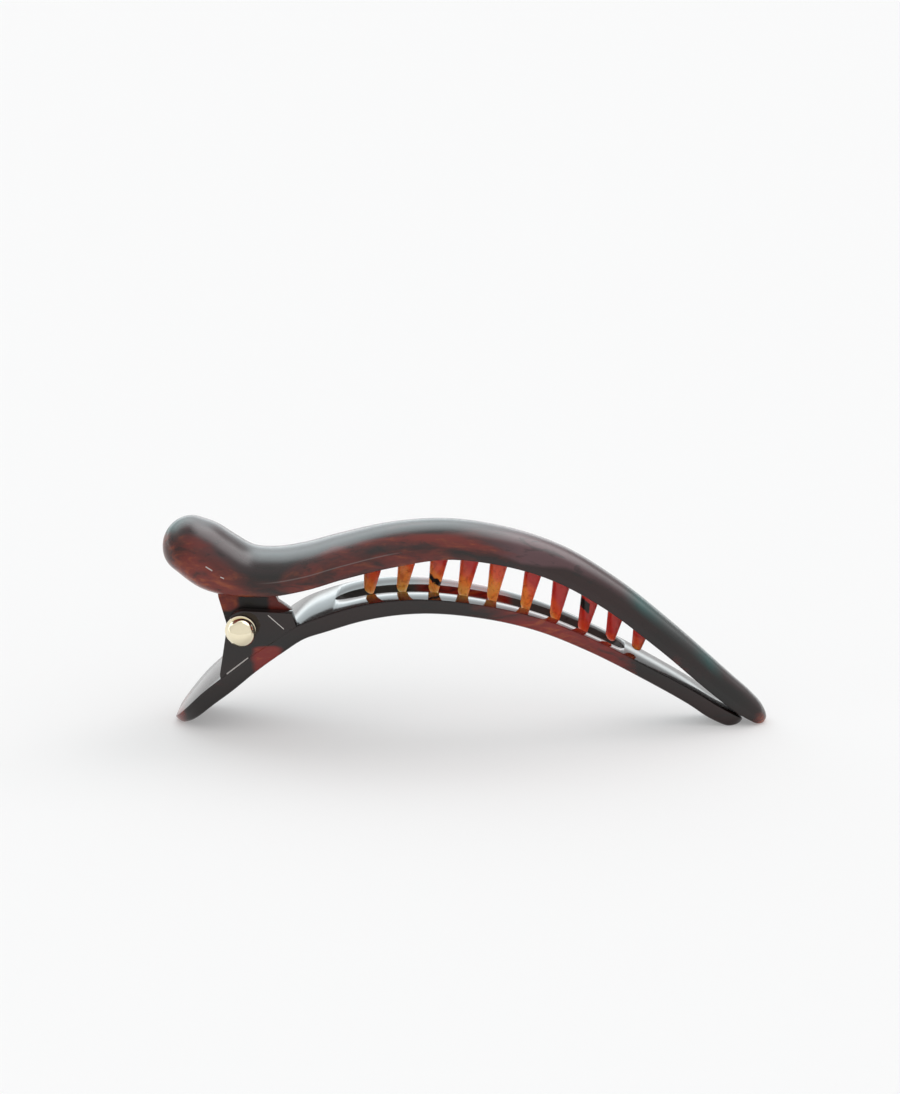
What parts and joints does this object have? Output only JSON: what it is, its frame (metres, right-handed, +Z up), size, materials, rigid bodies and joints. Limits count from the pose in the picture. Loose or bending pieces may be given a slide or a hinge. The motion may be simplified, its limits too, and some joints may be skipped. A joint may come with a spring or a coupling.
{
  "type": "hair clip",
  "caption": "Long curved beak hair clip: a domed toothed jaw over a slotted jaw, hinged at finger pads on a sprung pin with ball ends.",
  "frame": {"origin": "on the table under the middle of the clip", "axes": "+X along the clip from the finger pads to the tips, +Y across it along the hinge pin, +Z up from the table"},
  "size_m": [0.1216, 0.0356, 0.0417],
  "materials": {
    "tortoiseshell": "polished dark brown tortoiseshell acetate with amber teeth",
    "gold": "polished pale gold plating",
    "pin_steel": "plain steel pin",
    "spring_steel": "plain spring wire"
  },
  "bodies": {
    "lower": {"lower_jaw": "tortoiseshell", "hinge_pin": "pin_steel", "spring": "spring_steel", "ball_near": "gold", "ball_far": "gold", "washer_near": "gold", "washer_far": "gold"},
    "upper": {"upper_jaw": "tortoiseshell"}
  },
  "joints": [
    {"name": "jaw_hinge", "type": "hinge", "parent": "lower", "child": "upper", "pos_m": [-0.0437, 0, 0.022], "axis": [0, -1, 0], "range_deg": [0, 34], "stiffness_Nm_per_rad": 0.2, "springref_deg": -22.92, "deforming": ["spring"]}
  ]
}
